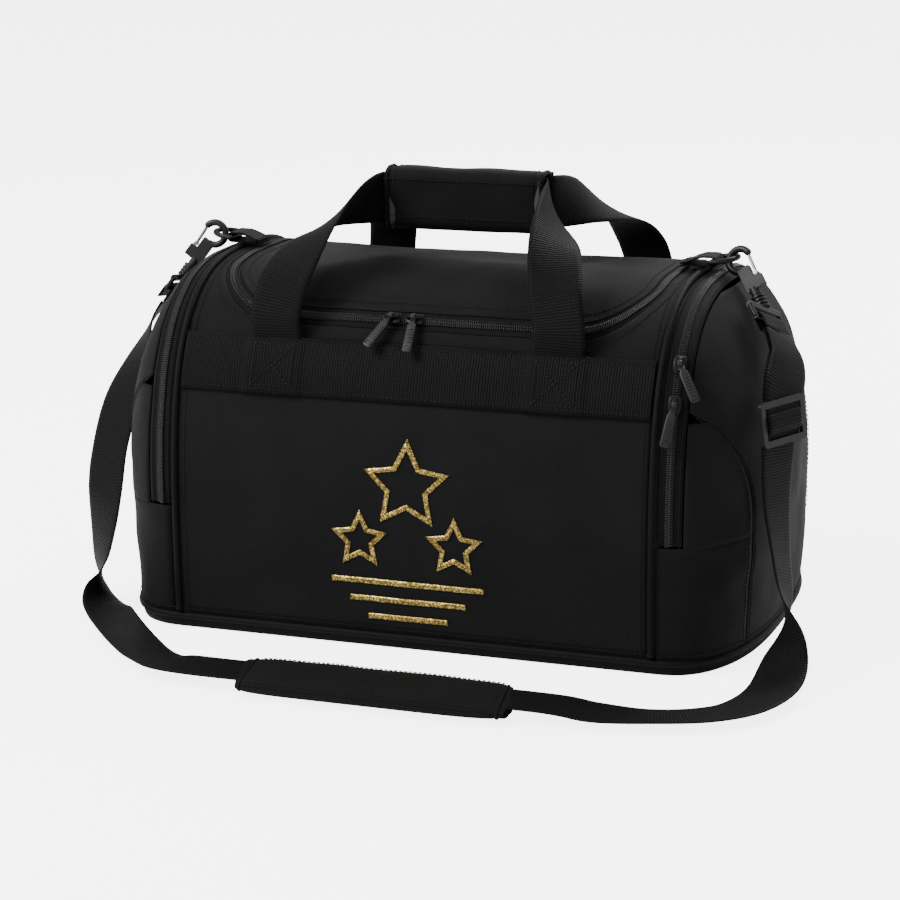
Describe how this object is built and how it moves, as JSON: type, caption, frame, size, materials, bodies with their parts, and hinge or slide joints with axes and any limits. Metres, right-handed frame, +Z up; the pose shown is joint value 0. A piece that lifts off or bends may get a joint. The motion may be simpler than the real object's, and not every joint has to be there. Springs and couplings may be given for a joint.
{
  "type": "sports holdall",
  "caption": "Soft sports holdall with an arched zip lid, two domed end pockets, paired carry handles in a wrap grip and a clip-on padded shoulder strap.",
  "frame": {"origin": "on the floor under the middle of the bag", "axes": "+X along the bag towards the right end pocket, -Y is the printed front, +Z up"},
  "size_m": [0.5698, 0.4142, 0.3285],
  "materials": {
    "body_fabric": "woven polyester with a coated back",
    "base_fabric": "woven polyester, tough base",
    "lining": "thin plain-weave lining",
    "board": "stiff base board",
    "zip_coil": "nylon coil",
    "zip_tape": "flat woven tape",
    "piping": "cord covered in binding",
    "webbing": "ribbed polypropylene webbing",
    "ring_metal": "dark coated steel",
    "slider_metal": "black painted zinc",
    "pull_plastic": "black moulded pull",
    "gate_metal": "bright wire",
    "hook_plastic": "black moulded acetal",
    "gold_print": "gold glitter film",
    "foam": "soft closed-cell foam",
    "grip_fabric": "woven polyester with bound edges",
    "pad_fabric": "padded woven polyester"
  },
  "bodies": {
    "bag": {"bottom_panel": "base_fabric", "base_board": "board", "base_piping": "piping", "front_panel": "body_fabric", "back_panel": "body_fabric", "top_gusset": "body_fabric", "left_divider": "lining", "right_divider": "lining", "left_piping": "piping", "right_piping": "piping", "left_end_panel": "body_fabric", "right_end_panel": "body_fabric", "left_corner_front": "body_fabric", "left_corner_back": "body_fabric", "right_corner_front": "body_fabric", "right_corner_back": "body_fabric", "left_pocket_tapes": "zip_tape", "right_pocket_tapes": "zip_tape", "left_pocket_coil": "zip_coil", "right_pocket_coil": "zip_coil", "main_zip_tape": "zip_tape", "main_zip_coil": "zip_coil", "front_band": "webbing", "back_band": "webbing", "left_tab": "webbing", "right_tab": "webbing", "left_ring": "ring_metal", "right_ring": "ring_metal", "print_motif": "gold_print", "shoulder_strap": "webbing", "strap_end_left": "webbing", "strap_end_right": "webbing", "tri_glide": "hook_plastic", "left_hook": "hook_plastic", "left_swivel": "hook_plastic", "right_hook": "hook_plastic", "right_swivel": "hook_plastic"},
    "lid": {"lid_panel": "body_fabric", "lid_zip_tape": "zip_tape", "lid_zip_coil": "zip_coil"},
    "front_handle": {"front_handle": "webbing", "grip_pad": "foam", "grip_cover": "grip_fabric"},
    "back_handle": {"back_handle": "webbing"},
    "slider_left": {"slider_left": "slider_metal"},
    "slider_right": {"slider_right": "slider_metal"},
    "pull_left": {"pull_left": "pull_plastic"},
    "pull_right": {"pull_right": "pull_plastic"},
    "right_slider_upper": {"right_slider_upper": "slider_metal"},
    "right_slider_lower": {"right_slider_lower": "slider_metal"},
    "left_slider_upper": {"left_slider_upper": "slider_metal"},
    "left_slider_lower": {"left_slider_lower": "slider_metal"},
    "right_pull_upper": {"right_pull_upper": "pull_plastic"},
    "right_pull_lower": {"right_pull_lower": "pull_plastic"},
    "left_pull_upper": {"left_pull_upper": "pull_plastic"},
    "left_pull_lower": {"left_pull_lower": "pull_plastic"},
    "left_gate": {"left_gate": "gate_metal"},
    "right_gate": {"right_gate": "gate_metal"},
    "pad": {"shoulder_pad": "pad_fabric"}
  },
  "joints": [
    {"name": "lid_open", "type": "hinge", "parent": "bag", "child": "lid", "pos_m": [0, 0.0976, 0.23636], "axis": [-1, 0, 0], "range_deg": [0, 85]},
    {"name": "front_handle_fold", "type": "hinge", "parent": "bag", "child": "front_handle", "pos_m": [0, -0.1165, 0.221], "axis": [1, 0, 0], "range_deg": [0, 153]},
    {"name": "back_handle_fold", "type": "hinge", "parent": "bag", "child": "back_handle", "pos_m": [0, 0.1165, 0.221], "axis": [-1, 0, 0], "range_deg": [0, 153]},
    {"name": "slider_left_run", "type": "slide", "parent": "lid", "child": "slider_left", "axis": [-1, 0, 0], "range_m": [0, 0.045]},
    {"name": "slider_right_run", "type": "slide", "parent": "lid", "child": "slider_right", "axis": [1, 0, 0], "range_m": [0, 0.075]},
    {"name": "pull_left_lift", "type": "hinge", "parent": "slider_left", "child": "pull_left", "pos_m": [-0.022, -0.10487, 0.23771], "axis": [-1, 0, 0], "range_deg": [0, 110]},
    {"name": "pull_right_lift", "type": "hinge", "parent": "slider_right", "child": "pull_right", "pos_m": [-0.005, -0.10487, 0.23771], "axis": [-1, 0, 0], "range_deg": [0, 110]},
    {"name": "right_upper_slider_run", "type": "hinge", "parent": "bag", "child": "right_slider_upper", "pos_m": [0.192, -0.0302, 0.1633], "axis": [1, 0, 0], "range_deg": [-9, 0]},
    {"name": "right_lower_slider_run", "type": "hinge", "parent": "bag", "child": "right_slider_lower", "pos_m": [0.192, 0.1215, 0.1085], "axis": [1, 0, 0], "range_deg": [0, 17]},
    {"name": "right_upper_pull_lift", "type": "hinge", "parent": "right_slider_upper", "child": "right_pull_upper", "pos_m": [0.19327, -0.11804, 0.21933], "axis": [-0.9793, -0.1703, 0.1091], "range_deg": [0, 100]},
    {"name": "right_lower_pull_lift", "type": "hinge", "parent": "right_slider_lower", "child": "right_pull_lower", "pos_m": [0.19309, -0.13087, 0.19314], "axis": [-0.9849, -0.1624, 0.0596], "range_deg": [0, 100]},
    {"name": "left_upper_slider_run", "type": "hinge", "parent": "bag", "child": "left_slider_upper", "pos_m": [-0.192, 0.0302, 0.1633], "axis": [-1, 0, 0], "range_deg": [-9, 0]},
    {"name": "left_lower_slider_run", "type": "hinge", "parent": "bag", "child": "left_slider_lower", "pos_m": [-0.192, -0.1215, 0.1085], "axis": [-1, 0, 0], "range_deg": [0, 17]},
    {"name": "left_upper_pull_lift", "type": "hinge", "parent": "left_slider_upper", "child": "left_pull_upper", "pos_m": [-0.19327, 0.11804, 0.21933], "axis": [0.9793, 0.1703, 0.1091], "range_deg": [0, 100]},
    {"name": "left_lower_pull_lift", "type": "hinge", "parent": "left_slider_lower", "child": "left_pull_lower", "pos_m": [-0.19309, 0.13087, 0.19314], "axis": [0.9849, 0.1624, 0.0596], "range_deg": [0, 100]},
    {"name": "right_gate_open", "type": "hinge", "parent": "bag", "child": "right_gate", "pos_m": [0.21921, -0.0078, 0.26336], "axis": [-0.2569, -0.9012, 0.3491], "range_deg": [0, 12], "stiffness_Nm_per_rad": 0.004},
    {"name": "left_gate_open", "type": "hinge", "parent": "bag", "child": "left_gate", "pos_m": [-0.21995, -0.00362, 0.26207], "axis": [-0.1177, 0.9796, -0.1631], "range_deg": [0, 12], "stiffness_Nm_per_rad": 0.004},
    {"name": "pad_slide", "type": "slide", "parent": "bag", "child": "pad", "axis": [1, 0, 0], "range_m": [-0.012, 0.012]}
  ],
  "couplings": [
    {"joint": "front_handle_fold", "follows": "lid_open", "ratio": 1.8},
    {"joint": "back_handle_fold", "follows": "lid_open", "ratio": 1.8}
  ]
}
